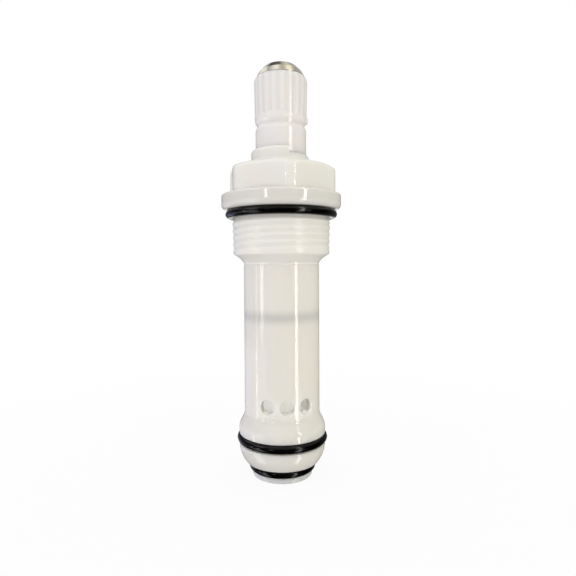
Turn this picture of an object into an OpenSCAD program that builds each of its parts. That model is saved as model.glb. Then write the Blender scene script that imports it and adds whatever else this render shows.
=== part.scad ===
// Rising-spindle diverter stem for a bath and shower valve.
// The axis is Z, the foot of the nose stands on Z = 0, and the front of the stem faces -Y.
// It is drawn open: the spindle is up and the seat washer is clear of its seat.

/* [Nose] */
// Diameter of the foot ring at the very bottom
foot_d = 12.6; // [12:0.1:13.2]
// Height of the foot ring
foot_h = 1; // [0.8:0.05:1.3]
// Diameter over the small seal ring at the foot
small_ring_od = 14.1; // [13.8:0.1:14.4]
// Diameter of the lip just above the small seal ring
lip_d = 15.6; // [15:0.1:16]
// Diameter of the wide band that the large seal ring sits under
shoulder_d = 18.4; // [18:0.1:18.8]
// Height of the bottom of the large seal ring's groove
large_groove_z = 6.9; // [6.6:0.05:7.3]
// Diameter over the large seal ring
large_ring_od = 19.15; // [18.9:0.05:19.5]
// Height of the plain band above the large seal ring
band_h = 1.3; // [1:0.1:1.8]
// Height of the curved flare between the band and the tube
flare_h = 3.4; // [2.8:0.1:3.8]
// Diameter of the outlet through the nose
outlet_d = 6.8; // [6:0.1:7.2]
// Height of the seat edge above the foot
seat_z = 5.2; // [4.9:0.05:5.6]

/* [Barrel] */
// Outer diameter of the tube
tube_d = 16.2; // [15.8:0.1:16.6]
// Bore of the tube
bore_d = 12.6; // [12.4:0.05:12.9]
// Height of the joint between the tube and the bonnet
joint_z = 44.7; // [43.5:0.1:46]
// Length of the spigot that snaps into the bonnet
spigot_h = 3.2; // [2.6:0.1:3.4]
// Diameter of that spigot
spigot_d = 14.7; // [14.5:0.05:14.9]
// Height of the middle of the side ports
port_z = 15.8; // [15.5:0.1:17]
// Diameter of a side port
port_d = 3.1; // [2:0.1:3.2]
// Angle between neighbouring ports of one row
port_step = 30; // [30:1:34]
// Turn of the front row of ports away from the front
port_turn = 7; // [-10:0.5:20]

/* [Bonnet] */
// Diameter over the outside thread
thread_d = 21; // [20.6:0.1:21.4]
// Length of the outside thread
thread_h = 6.8; // [6:0.1:7.5]
// Height of the tapered end below the thread
taper_h = 2.4; // [2:0.1:3]
// Diameter over the bonnet's seal ring
bonnet_ring_od = 23.9; // [23.5:0.1:24.4]
// Diameter of the flange
flange_d = 25.7; // [25.2:0.1:26.6]
// Thickness of the flange at its rim
flange_h = 3.2; // [2.8:0.1:3.8]
// Rise of the sloping top of the flange
flange_slope_h = 0.55; // [0.4:0.05:0.8]
// Width of the hexagonal head across its flats
head_d = 21.4; // [21.2:0.1:21.8]
// Height of the head above the flange
head_h = 5.45; // [4.8:0.05:6]
// Diameter over the six trimmed edges of the head
head_edge_d = 24.3; // [23.9:0.1:24.4]
// Radius that the top of the head's edges is turned over with
head_round = 2.4; // [2:0.1:2.8]

/* [Neck collar] */
// Diameter of the collar's raised stop
collar_d = 12.8; // [12.6:0.1:13.4]
// Height of the raised stop above the head
collar_h = 3.65; // [3.5:0.05:4.4]
// Height of the low part of the collar above the head
collar_low_h = 3.3; // [2.7:0.05:3.4]
// Diameter of the low part where it meets the head
collar_low_d = 15.6; // [14.4:0.1:16.4]
// Angle from the front at which the raised stop ends, towards the right
stop_end = 18; // [10:1:24]
// Angle that the raised stop covers
stop_sweep = 218; // [180:1:230]

/* [Spindle] */
// Diameter of the plain spindle
spindle_d = 10.92; // [10.7:0.02:11]
// Height of the groove under the spline
neck_z = 74.2; // [73.9:0.1:74.6]
// Diameter at the bottom of that groove
neck_d = 10.2; // [9.6:0.1:10.5]
// Height at which the spline starts
spline_z = 75.6; // [75.3:0.1:76.2]
// Length of the spline
spline_h = 9; // [8:0.1:10]
// Diameter over the spline at its top
spline_d = 11.5; // [11.3:0.02:11.8]
// Diameter over the spline at its bottom
spline_low_d = 11.16; // [11:0.02:11.4]
// Depth of the spline
spline_depth = 0.5; // [0.3:0.05:0.7]
// Number of teeth of the spline
spline_teeth = 20; // [16:1:24]
// Reach of the stop lug beyond the plain spindle
lug_reach = 0.4; // [0.3:0.05:0.7]
// Width of the stop lug as an angle
lug_sweep = 18; // [12:1:22]
// Diameter of the screw part inside the bonnet
screw_d = 12; // [11.6:0.05:12.2]
// Length of that screw part
screw_h = 9; // [7:0.1:9.4]

/* [Metal insert] */
// Height of the insert's cone above the spline
tip_h = 2.8; // [2.2:0.1:3.4]
// Diameter of the flat end of the cone
tip_flat_d = 6.6; // [5.8:0.1:7]
// Diameter of the knurled shank in the plastic
shank_d = 6.8; // [6.4:0.1:7.2]
// Length of that shank
shank_h = 11; // [9:0.1:12]
// Diameter of the hole for the handle screw
handle_screw_d = 4.2; // [3.4:0.1:4.8]
// Depth of that hole
handle_screw_h = 12; // [10:0.1:13]

/* [Plunger] */
// Height of the piston seal ring
piston_ring_z = 33.5; // [32.5:0.1:34.5]
// Length of the piston
piston_h = 6; // [5:0.1:7]
// Diameter of the shaft behind the ports
shaft_d = 8.4; // [7.6:0.1:8.8]
// Diameter of the cup that holds the seat washer
cup_d = 10.4; // [10:0.1:10.8]
// Thickness of the seat washer
washer_h = 1.9; // [1.6:0.1:2.1]
// Diameter of the spigot that the spindle swivels on
swivel_d = 6.4; // [6:0.1:6.8]
// Length of that spigot
swivel_h = 9.5; // [8:0.1:11]
// Diameter of the head of the washer screw
screw_head_d = 5.8; // [5.2:0.1:5.8]

/* [Travel] */
// How far the plunger travels from open to closed
travel = 5.6; // [4.8:0.05:5.6]
// Section of the seal rings
ring_cord = 1.78; // [1.7:0.02:1.84]
// Running clearance of shafts in their bores, on the radius
running_gap = 0.05; // [0.03:0.01:0.08]
// Clearance of moulded parts that stay together, on the radius
seat_gap = 0.04; // [0.02:0.01:0.06]

/* [Hidden] */
$fn = 96;

milky = [0.89, 0.88, 0.85];
pale = [0.91, 0.89, 0.87];
black_rubber = [0.04, 0.04, 0.04];
nickel = [0.72, 0.71, 0.68];

cut = 1;                 // how far a cutting shape runs past what it cuts
ring_gap = 0.06;         // side clearance of a seal ring in its groove
face_gap = 0.1;          // end clearance between pieces that move on each other
groove_play = 0.22;      // how much longer a groove is than its ring's section

tube_r = tube_d / 2;
bore_r = bore_d / 2;
outlet_r = outlet_d / 2;
shoulder_r = shoulder_d / 2;
groove_h = ring_cord + groove_play;
band_z = large_groove_z + groove_h;
band_top_z = band_z + band_h;
flare_top_z = band_top_z + flare_h;
lip_z = foot_h + groove_h;
floor_z = seat_z - 0.9;
seat_rim = 0.8;
bowl_drop = large_groove_z - lip_z;
bowl_inset = shoulder_r - lip_d / 2;
bowl_r = (bowl_inset * bowl_inset + bowl_drop * bowl_drop) / (2 * bowl_inset);
flare_steps = 8;
port_count = 3;
port_start_r = bore_r - 0.25;

spigot_r = spigot_d / 2;
spigot_top_z = joint_z + spigot_h;
snap_bead = 0.25;
snap_r = 0.45;
snap_z = joint_z + spigot_h * 0.36;
seal_cord = (spigot_r - screw_d / 2) * 0.74;   // the ring lies between the screw and the socket's wall
seal_ring_r = spigot_r + seat_gap - ring_gap - seal_cord / 2;
socket_top_z = spigot_top_z + seal_cord + face_gap;

thread_r = thread_d / 2;
thread_z = joint_z + taper_h;
thread_top_z = thread_z + thread_h;
thread_edge = 0.35;
taper_end_r = thread_r - 0.25;
relief_r = bonnet_ring_od / 2 - ring_cord;
flange_z = thread_top_z + ring_cord + 0.52;
flange_top_z = flange_z + flange_h;
flange_r = flange_d / 2;
flange_round = 0.6;
head_r = head_d / 2;
head_z = flange_top_z + flange_slope_h;
slope_low_r = flange_r - flange_round;   // outer and inner radius of the domed slope
slope_high_r = head_r - 0.3;
slope_centre_z = (flange_top_z + head_z) / 2
    - (slope_low_r * slope_low_r - slope_high_r * slope_high_r) / (2 * flange_slope_h);
slope_r = norm([slope_low_r, flange_top_z - slope_centre_z]);
head_top_z = head_z + head_h;
head_turn = 10;          // turn of one upright edge from the front, towards the right
collar_r = collar_d / 2;
collar_top_z = head_top_z + collar_h;
collar_low_top_z = head_top_z + collar_low_h;
collar_rim = 0.18;       // width of the flat edge on the low part
collar_round = (collar_d - spindle_d) / 2 - running_gap - 0.05;

spindle_r = spindle_d / 2;
bearing_r = spindle_r + running_gap;
screw_r = screw_d / 2;
nut_r = screw_r + running_gap;
screw_top_z = flange_z + flange_h * 0.28;
bearing_z = screw_top_z + face_gap;
screw_z = screw_top_z - screw_h;
upper_ring_z = head_top_z + collar_h * 0.37;
lower_ring_z = upper_ring_z - ring_cord - 0.85;
spindle_groove_r = bearing_r - ring_cord * 0.86;
neck_r = neck_d / 2;
neck_slope_h = 0.9;
band_r = spline_low_d / 2 - 0.05;
lug_z = spline_z - 0.9;
lug_h = 1.6;
lug_turn = 90;
spline_top_z = spline_z + spline_h;
spline_chamfer_h = 0.7;
tip_base_r = spline_d / 2 - 0.38;
tip_top_z = spline_top_z + tip_h;
shank_z = spline_top_z - shank_h;
knurl_groove_h = 1.2;
knurl_groove_depth = 0.35;

piston_r = bore_r - 0.12;
piston_groove_r = bore_r - ring_cord * 0.86;
piston_z = piston_ring_z - piston_h / 2;
piston_top_z = piston_ring_z + piston_h / 2;
washer_z = seat_z + travel + face_gap;
cup_r = cup_d / 2;
cup_wall = 0.45;
cup_floor_z = washer_z + washer_h;
cup_top_z = cup_floor_z + 0.8;
cup_slope_h = 0.7;
shaft_r = shaft_d / 2;
washer_r = cup_r - cup_wall - seat_gap;
screw_head_h = 1.7;
screw_shank_r = 1.6;
screw_shank_h = 8;
drive_slot_w = 0.9;
drive_slot_h = 0.8;

swivel_r = swivel_d / 2;
socket_r = swivel_r + running_gap;
thrust_h = 0.6;
thrust_z = piston_top_z + face_gap;
spindle_z = thrust_z + thrust_h;
swivel_top_z = piston_top_z + swivel_h;
tail_r = screw_r - 0.3;
socket_top = swivel_top_z + 0.4;
clip_h = 0.8;
clip_z = piston_top_z + swivel_h * 0.6;
clip_in_r = swivel_r - 0.55;
clip_out_r = swivel_r + 0.75;
clip_sweep = 310;

// Half section of a disc from the axis out to r, with its outer edges rounded
module disc_section(r, z_low, z_high, round_top = 0, round_low = 0) {
    difference() {
        translate([0, z_low]) square([r, z_high - z_low]);
        if (round_top > 0)
            translate([r - round_top, z_high - round_top]) corner_waste(round_top);
        if (round_low > 0)
            translate([r - round_low, z_low + round_low]) mirror([0, 1]) corner_waste(round_low);
    }
}

// What is cut off a square corner to round it, with the arc's centre at the origin
module corner_waste(r) {
    difference() {
        square([r + cut, r + cut]);
        circle(r = r);
    }
}

// Half section of a hole on the axis
module hole_section(r, z_low, z_high) {
    translate([0, z_low]) square([r, z_high - z_low]);
}

// Half section of a cone frustum on the axis
module cone_section(r_low, r_high, z_low, z_high) {
    polygon([[0, z_low], [r_low, z_low], [r_high, z_high], [0, z_high]]);
}

// Seal ring of round section, given by its outer radius
module seal_ring(outer_r, z, cord) {
    rotate_extrude() translate([outer_r - cord / 2, z]) circle(r = cord / 2, $fn = 48);
}

// Half section of a groove that is cut into an outer wall
module groove_section(floor_r, z_low, height) {
    translate([floor_r, z_low]) square([shoulder_r + flange_r, height]);
}

// Outline of the flare: a half wave from the band in to the tube
function flare_point(t) =
    [tube_r + (shoulder_r - tube_r) * (1 + cos(180 * t)) / 2, band_top_z + flare_h * t];

// Hollow curve from the tube out to the thread, as parts of its width and height
taper_form = [[0, 0], [0.03, 0.12], [0.15, 0.28], [0.44, 0.54], [0.88, 0.82], [1, 1]];
function taper_point(p) =
    [tube_r + (taper_end_r - tube_r) * p[0], joint_z + taper_h * p[1]];

// Half section of the outside of the barrel, up to the joint with the bonnet
module barrel_outside() {
    disc_section(foot_d / 2, 0, lip_z, 0, 0.3);
    intersection() {
        translate([0, lip_z]) square([shoulder_r, bowl_drop + cut]);
        translate([shoulder_r - bowl_r, large_groove_z]) circle(r = bowl_r, $fn = 180);
    }
    disc_section(shoulder_r, large_groove_z, band_top_z);
    polygon(concat([[0, band_top_z]],
        [for (i = [0:flare_steps]) flare_point(i / flare_steps)],
        [[0, flare_top_z]]));
    hole_section(tube_r, flare_top_z, joint_z);
}

// Half section of the spigot with its snap bead
module spigot_section() {
    cone_section(spigot_r, spigot_r, joint_z - cut, spigot_top_z - 0.4);
    cone_section(spigot_r, spigot_r - 0.25, spigot_top_z - 0.4, spigot_top_z);
    translate([spigot_r + snap_bead - snap_r, snap_z]) circle(r = snap_r, $fn = 32);
}

// Half section of everything that is hollow in the barrel
module barrel_inside() {
    hole_section(outlet_r, -cut, seat_z + cut);
    difference() {
        hole_section(bore_r, floor_z, spigot_top_z + cut);
        hole_section(outlet_r + seat_rim, floor_z - cut, seat_z);
    }
}

module barrel() {
    color(milky) difference() {
        rotate_extrude() difference() {
            union() {
                barrel_outside();
                spigot_section();
            }
            barrel_inside();
            groove_section(small_ring_od / 2 - ring_cord, foot_h, groove_h);
            groove_section(large_ring_od / 2 - ring_cord, large_groove_z, groove_h);
        }
        for (side = [0, 180], i = [0:port_count - 1])
            rotate([0, 0, side + port_turn + (i - (port_count - 1) / 2) * port_step])
                translate([0, -port_start_r, port_z])
                    rotate([90, 0, 0]) cylinder(r = port_d / 2, h = tube_r, $fn = 48);
    }
}

// Half section of the solid bonnet up to the slope on top of the flange
module bonnet_outside() {
    polygon(concat([[0, joint_z]], [for (p = taper_form) taper_point(p)], [[0, thread_z]]));
    cone_section(taper_end_r, thread_r, thread_z, thread_z + thread_edge);
    hole_section(thread_r, thread_z + thread_edge, thread_top_z - thread_edge);
    cone_section(thread_r, relief_r, thread_top_z - thread_edge, thread_top_z);
    hole_section(relief_r, thread_top_z, flange_z);
    disc_section(flange_r, flange_z, flange_top_z, flange_round, flange_round);
    intersection() {
        translate([0, flange_top_z - cut]) square([flange_r - flange_round, flange_slope_h + cut]);
        translate([0, slope_centre_z]) circle(r = slope_r, $fn = 720);
    }
}

// Hexagonal head, its edges trimmed and its top turned over as on turned stock
module head() {
    intersection() {
        translate([0, 0, head_z - cut]) rotate([0, 0, head_turn - 90])
            cylinder(r = head_r / cos(30), h = head_h + cut, $fn = 6);
        rotate_extrude() disc_section(head_edge_d / 2, flange_z + flange_round, head_top_z,
            head_round, 0);
    }
}

// Half section of the bores of the bonnet
module bonnet_inside() {
    hole_section(spigot_r + seat_gap, joint_z - cut, socket_top_z);
    translate([spigot_r + snap_bead - snap_r, snap_z]) circle(r = snap_r + seat_gap, $fn = 32);
    hole_section(nut_r, joint_z - cut, bearing_z);
    hole_section(bearing_r, joint_z - cut, collar_top_z + cut);
}

// Half section of the low part of the neck collar
module collar_low_section() {
    hole_section(collar_low_d / 2, head_z, head_top_z);
    cone_section(collar_low_d / 2, bearing_r + collar_rim, head_top_z, collar_low_top_z);
}

// Raised part of the neck collar, whose end stops the lug of the spindle
module collar_stop() {
    rotate([0, 0, stop_end - 90 - stop_sweep]) rotate_extrude(angle = stop_sweep)
        difference() {
            disc_section(collar_r, head_top_z - cut, collar_top_z, collar_round, 0);
            hole_section(neck_r / 2, head_top_z - 2 * cut, collar_top_z + cut);
        }
}

module bonnet() {
    color(milky) difference() {
        union() {
            rotate_extrude() {
                bonnet_outside();
                collar_low_section();
            }
            head();
            collar_stop();
        }
        rotate_extrude() bonnet_inside();
    }
}

// Points of the spline's cross-section: a flat crest and a flat root for each tooth
function spline_points(root_r, crest_r, teeth) = [
    for (i = [0:teeth - 1], step = [[-0.36, root_r], [-0.17, crest_r], [0.17, crest_r], [0.36, root_r]])
        let (a = (i + step[0]) * 360 / teeth + 3 - 90) [step[1] * cos(a), step[1] * sin(a)]
];

// Splined end, held inside a slightly tapered and chamfered envelope
module spline_end() {
    root_r = spline_low_d / 2 - spline_depth;
    intersection() {
        translate([0, 0, spline_z]) linear_extrude(height = spline_h)
            polygon(spline_points(root_r, spline_d / 2 + 0.02, spline_teeth));
        rotate_extrude() polygon([[0, spline_z], [spline_low_d / 2, spline_z],
            [spline_d / 2, spline_top_z - spline_chamfer_h], [tip_base_r, spline_top_z],
            [0, spline_top_z]]);
    }
}

// Small lug under the spline that runs against the collar's raised stop
module stop_lug() {
    rotate([0, 0, lug_turn - 90 - lug_sweep / 2]) rotate_extrude(angle = lug_sweep)
        polygon([[neck_r - 0.5, lug_z], [spindle_r - 0.1, lug_z],
            [spindle_r + lug_reach, lug_z + 0.5], [spindle_r + lug_reach, lug_z + lug_h - 0.4],
            [spindle_r, lug_z + lug_h], [neck_r - 0.5, lug_z + lug_h]]);
}

// Half section of the turned form of the spindle
module spindle_outside() {
    disc_section(tail_r, spindle_z, screw_z, 0, 0.3);
    cone_section(tail_r, screw_r, screw_z, screw_z + 0.3);
    hole_section(screw_r, screw_z + 0.3, screw_top_z - 0.3);
    cone_section(screw_r, screw_r - 0.3, screw_top_z - 0.3, screw_top_z);
    hole_section(spindle_r, screw_top_z, neck_z - neck_slope_h);
    cone_section(spindle_r, neck_r, neck_z - neck_slope_h, neck_z);
    cone_section(neck_r, band_r, neck_z, spline_z - 0.1);
    hole_section(band_r, spline_z - 0.1, spline_z);
}

module spindle() {
    color(pale) difference() {
        union() {
            rotate_extrude() difference() {
                spindle_outside();
                for (z = [upper_ring_z, lower_ring_z])
                    groove_section(spindle_groove_r, z - groove_h / 2, groove_h);
                hole_section(socket_r, spindle_z - cut, socket_top);
                translate([0, clip_z]) square([clip_out_r + seat_gap, clip_h]);
            }
            spline_end();
            stop_lug();
        }
        insert_shank(0);
    }
}

// Shank of the metal insert, with the groove that the plastic keys into
module insert_shank(gap) {
    rotate_extrude() difference() {
        hole_section(shank_d / 2 + gap, shank_z - gap, spline_top_z + cut);
        groove_section(shank_d / 2 - knurl_groove_depth + gap, shank_z + shank_h / 2,
            knurl_groove_h);
    }
}

module handle_screw_insert() {
    tip_mid_r = (tip_base_r * 0.63 + tip_flat_d / 2 * 0.37);
    color(nickel) difference() {
        union() {
            insert_shank(-seat_gap);
            rotate_extrude() polygon([[0, spline_top_z], [tip_base_r, spline_top_z],
                [tip_mid_r, spline_top_z + tip_h * 0.5], [tip_flat_d / 2 + 0.4, tip_top_z - 0.35],
                [tip_flat_d / 2, tip_top_z], [0, tip_top_z]]);
        }
        translate([0, 0, tip_top_z - handle_screw_h])
            cylinder(r = handle_screw_d / 2, h = handle_screw_h + cut, $fn = 48);
    }
}

module plunger() {
    color(pale) rotate_extrude() difference() {
        union() {
            cone_section(cup_r, cup_r, washer_z + 0.7, cup_top_z);
            cone_section(cup_r, shaft_r, cup_top_z, cup_top_z + cup_slope_h);
            hole_section(shaft_r, cup_top_z, piston_z);
            disc_section(piston_r, piston_z, piston_top_z, 0.3, 0.3);
            hole_section(swivel_r, piston_top_z, swivel_top_z - 0.4);
            cone_section(swivel_r, swivel_r - 0.4, swivel_top_z - 0.4, swivel_top_z);
        }
        groove_section(piston_groove_r, piston_ring_z - groove_h / 2, groove_h);
        hole_section(cup_r - cup_wall, washer_z - cut, cup_floor_z);
        hole_section(screw_shank_r + seat_gap, cup_floor_z - cut, washer_z + screw_shank_h + 0.3);
        translate([clip_in_r - running_gap, clip_z - face_gap])
            square([swivel_r, clip_h + 2 * face_gap]);
    }
}

module seat_washer() {
    color(black_rubber) rotate_extrude() difference() {
        disc_section(washer_r, washer_z, cup_floor_z, 0, 0.25);
        hole_section(screw_shank_r + seat_gap, washer_z - cut, cup_floor_z + cut);
    }
}

module washer_screw() {
    color(nickel) difference() {
        rotate_extrude() union() {
            disc_section(screw_head_d / 2, washer_z - screw_head_h, washer_z, 0, 0.5);
            hole_section(screw_shank_r, washer_z, washer_z + screw_shank_h);
        }
        translate([-screw_head_d, -drive_slot_w / 2, washer_z - screw_head_h - cut])
            cube([2 * screw_head_d, drive_slot_w, drive_slot_h + cut]);
    }
}

module swivel_clip() {
    color(nickel) rotate([0, 0, 115]) rotate_extrude(angle = clip_sweep)
        translate([clip_in_r, clip_z]) square([clip_out_r - clip_in_r, clip_h]);
}

module thrust_washer() {
    color(pale) rotate_extrude() translate([swivel_r + 0.15, thrust_z])
        square([tail_r - 0.1 - swivel_r - 0.15, thrust_h]);
}

module bonnet_o_ring() {
    color(black_rubber) seal_ring(bonnet_ring_od / 2 + ring_gap, flange_z - ring_cord / 2, ring_cord);
}

module nose_o_ring_large() {
    color(black_rubber)
        seal_ring(large_ring_od / 2 + ring_gap, large_groove_z + groove_h / 2, ring_cord);
}

module nose_o_ring_small() {
    color(black_rubber) seal_ring(small_ring_od / 2 + ring_gap, foot_h + groove_h / 2, ring_cord);
}

module barrel_seal_ring() {
    color(black_rubber)
        seal_ring(seal_ring_r + seal_cord / 2, spigot_top_z + seal_cord / 2 + 0.05, seal_cord);
}

module spindle_o_ring_upper() {
    color(black_rubber) seal_ring(bearing_r - 0.03, upper_ring_z, (bearing_r - spindle_groove_r) - ring_gap);
}

module spindle_o_ring_lower() {
    color(black_rubber) seal_ring(bearing_r - 0.03, lower_ring_z, (bearing_r - spindle_groove_r) - ring_gap);
}

module piston_o_ring() {
    color(black_rubber) seal_ring(bore_r - 0.03, piston_ring_z, (bore_r - piston_groove_r) - ring_gap);
}

bonnet();
barrel();
bonnet_o_ring();
nose_o_ring_large();
nose_o_ring_small();
barrel_seal_ring();
spindle();
handle_screw_insert();
spindle_o_ring_upper();
spindle_o_ring_lower();
swivel_clip();
thrust_washer();
plunger();
piston_o_ring();
seat_washer();
washer_screw();
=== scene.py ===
"""Dresses the packed diverter stem: its mouldings, metal insert, seal rings and the white stage it stands on.

Settings are kept in metres and worked in millimetres. A section is a list of (radius, height) points round the
stem's axis, and a corner is such a point with its rounding. Azimuth 0 is the front (-Y) and 90 the right (+X).
"""

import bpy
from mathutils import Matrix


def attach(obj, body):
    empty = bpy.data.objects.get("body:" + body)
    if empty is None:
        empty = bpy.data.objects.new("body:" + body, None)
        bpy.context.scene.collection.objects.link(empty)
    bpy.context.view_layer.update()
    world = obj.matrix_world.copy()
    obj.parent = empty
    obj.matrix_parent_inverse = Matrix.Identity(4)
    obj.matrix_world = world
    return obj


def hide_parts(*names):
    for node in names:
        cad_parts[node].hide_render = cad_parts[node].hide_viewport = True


bl_info = {
    "name": "Diverter Stem",
    "version": (1, 0, 0),
    "blender": (4, 5, 0),
    "location": "3D View > Sidebar > Stem",
    "description": "Makes the mouldings, metal insert and seal rings of a diverter stem round its packed solids",
    "category": "Add Mesh",
}

import types
from functools import partialmethod
from math import asin, atan2, ceil, cos, degrees, exp, pi, radians, sin, sqrt, tan, tau

import bmesh
import bpy
from mathutils import Euler, Matrix, Vector

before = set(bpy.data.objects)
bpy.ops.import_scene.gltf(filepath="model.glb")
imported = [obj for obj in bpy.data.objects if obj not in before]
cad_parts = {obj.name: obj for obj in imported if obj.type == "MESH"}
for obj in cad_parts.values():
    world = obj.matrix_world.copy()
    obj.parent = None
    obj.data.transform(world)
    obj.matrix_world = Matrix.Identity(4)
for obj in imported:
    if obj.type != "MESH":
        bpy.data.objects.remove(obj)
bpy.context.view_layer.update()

MM = 0.001
COLUMNS = 360
HAIR = 0.006  # how far the outermost skins stay inside the solids, in millimetres
SUPPORT = 0.07  # distance of the point that keeps an arc's shading off the face beside it
SQUEEZE = 0.86  # share of its section that a working seal ring keeps
FAR = 900  # distance of what only reflections see, in millimetres
COOL, WARM = (1.0, 0.99, 1.0), (1.0, 0.99, 0.95)
LILAC, CREAM = (1.0, 0.98, 1.0), (1.0, 0.98, 0.94)
# Bright strips that gloss shows: name, azimuth, width in degrees, lowest and highest point, strength, colour
STRIPS = (
    ("left_strip", -61, 11, -50, 70, 5.5, COOL),
    ("left_middle_strip", -61, 11, -110, -50, 3.2, COOL),
    ("edge_strip", -81, 4, -120, 150, 2.6, COOL),
    ("low_edge_strip", -81, 4, -440, -120, 6.0, COOL),
    ("left_glow", -74, 50, -440, -130, 1.1, LILAC),
    ("left_far_glow", -126, 52, -440, -120, 0.75, (1.0, 0.96, 1.3)),
    ("left_far_high_glow", -126, 52, -120, 150, 0.4, (0.7, 0.75, 1.2)),
    ("right_glow", 52, 26, -440, -220, 1.2, WARM),
    ("left_high_glow", -70, 30, 560, 1200, 2.2, LILAC),
    ("left_deep_glow", -70, 30, -1250, -450, 2.2, LILAC),
    ("right_high_glow", 48, 12, 560, 1200, 5.0, WARM),
    ("right_deep_glow", 48, 12, -1250, -450, 5.0, WARM),
    ("flange_strip", -28, 6, 150, 235, 8.0, (1.0, 0.99, 0.98)),
    ("right_strip", 44, 8, -420, 52, 9.0, (1.0, 0.96, 0.86)),
    ("rim_strip", 45, 5, 160, 235, 14.0, CREAM),
)
SLANTED_PATH = ((50, 240, 11), (44, 320, 10), (41, 380, 9))  # (azimuth, height, width) of the strip over the others


# Settings


def length(label, mm):
    """A length in millimetres as a setting in metres."""
    return bpy.props.FloatProperty(
        name=label, description=label + " at real size", default=mm * MM, min=0.0, unit="LENGTH", precision=5)


def tint(label, colour):
    """A colour setting."""
    return bpy.props.FloatVectorProperty(
        name=label, description="Colour of: " + label, default=colour, subtype="COLOR", size=3, min=0.0, max=1.0)


def number(label, value, least, most, unit="degrees"):
    """A plain number setting, whole where its default is whole."""
    kind = bpy.props.IntProperty if isinstance(value, int) else bpy.props.FloatProperty
    return kind(name=label, description=f"{label}, in {unit}", default=value, min=least, max=most)


def part_of(kind, label):
    """A group of settings inside the stem's settings."""
    return bpy.props.PointerProperty(type=kind, name=label, description=kind.__doc__)


class BarrelSizes(bpy.types.PropertyGroup):
    """Sizes of the tube and the seat nose"""

    foot_d: length("Foot diameter", 12.6)
    foot_h: length("Foot height", 1.0)
    small_ring_od: length("Small ring diameter", 14.1)
    lip_d: length("Lip diameter", 15.6)
    shoulder_d: length("Shoulder diameter", 18.4)
    large_groove_z: length("Large groove height", 6.9)
    large_ring_od: length("Large ring diameter", 19.15)
    band_h: length("Band height", 1.3)
    flare_h: length("Flare height", 3.4)
    outlet_d: length("Outlet diameter", 6.8)
    seat_z: length("Seat height", 5.2)
    tube_d: length("Tube diameter", 16.2)
    tube_draft: length("Tube draft", 0.05)
    bore_d: length("Bore diameter", 12.6)
    joint_z: length("Joint height", 44.7)
    spigot_h: length("Spigot length", 3.2)
    spigot_d: length("Spigot diameter", 14.7)
    port_z: length("Port height", 15.8)
    port_d: length("Port diameter", 3.1)
    port_edge: length("Port edge rounding", 0.12)
    port_step: number("Turn between ports", 30, 28, 34)
    port_turn: number("Turn to the middle port", 7.0, -180, 180)


class BonnetSizes(bpy.types.PropertyGroup):
    """Sizes of the bonnet"""

    taper_h: length("Taper height", 2.4)
    thread_d: length("Thread diameter", 21.0)
    thread_h: length("Thread length", 6.8)
    thread_pitch: length("Thread pitch", 1.41)
    thread_depth: length("Thread depth", 0.16)
    ring_od: length("Ring diameter", 23.9)
    flange_d: length("Flange diameter", 25.7)
    flange_h: length("Flange thickness", 3.2)
    flange_slope_h: length("Flange slope's rise", 0.55)
    flange_turn: length("Flange turn-under", 1.15)
    head_d: length("Head width", 21.4)
    head_h: length("Head height", 5.45)
    head_corner: length("Head edge rounding", 2.8)
    head_edge_d: length("Head corner diameter", 24.3)
    head_over: length("Head corner turn-over", 2.4)
    head_soft: length("Head top rounding", 0.9)
    collar_d: length("Raised stop diameter", 12.8)
    collar_h: length("Raised stop height", 3.65)
    collar_low_d: length("Low collar diameter", 14.6)
    collar_low_h: length("Low collar height", 2.35)
    head_turn: number("Head turn", 10.0, -180, 180)
    stop_end: number("Raised stop's end", 18.0, -180, 180)
    stop_sweep: number("Raised stop's sweep", 218.0, 5, 360)


class SpindleSizes(bpy.types.PropertyGroup):
    """Sizes of the spindle and its metal insert"""

    spindle_d: length("Spindle diameter", 10.92)
    neck_z: length("Neck height", 74.2)
    neck_d: length("Neck diameter", 10.2)
    spline_z: length("Spline height", 75.6)
    spline_h: length("Spline length", 9.0)
    spline_d: length("Spline diameter", 11.5)
    spline_low_d: length("Spline foot diameter", 11.16)
    spline_depth: length("Spline depth", 0.17)
    lug_reach: length("Stop lug's reach", 0.4)
    screw_d: length("Screw diameter", 12.0)
    screw_h: length("Screw length", 9.0)
    tip_h: length("Cone height", 2.58)
    tip_flat_d: length("Cone flat diameter", 6.6)
    shank_d: length("Shank diameter", 6.8)
    shank_h: length("Shank length", 11.0)
    hole_d: length("Hole diameter", 4.2)
    hole_h: length("Hole depth", 12.0)
    hole_pitch: length("Hole thread pitch", 0.7)
    teeth: number("Spline teeth", 20, 8, 60, "teeth")
    lug_sweep: number("Stop lug's sweep", 18.0, 5, 90)


class InnerSizes(bpy.types.PropertyGroup):
    """Sizes of the plunger and of the seal rings"""

    ring_cord: length("Seal ring section", 1.78)
    running_gap: length("Running gap", 0.05)
    seat_gap: length("Seat gap", 0.04)
    piston_ring_z: length("Piston ring height", 33.5)
    piston_h: length("Piston length", 6.0)
    shaft_d: length("Shaft diameter", 8.2)
    cup_d: length("Washer cup diameter", 10.4)
    washer_z: length("Washer height", 10.9)
    washer_h: length("Washer thickness", 1.9)
    swivel_d: length("Swivel diameter", 6.4)
    swivel_h: length("Swivel length", 9.5)


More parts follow.
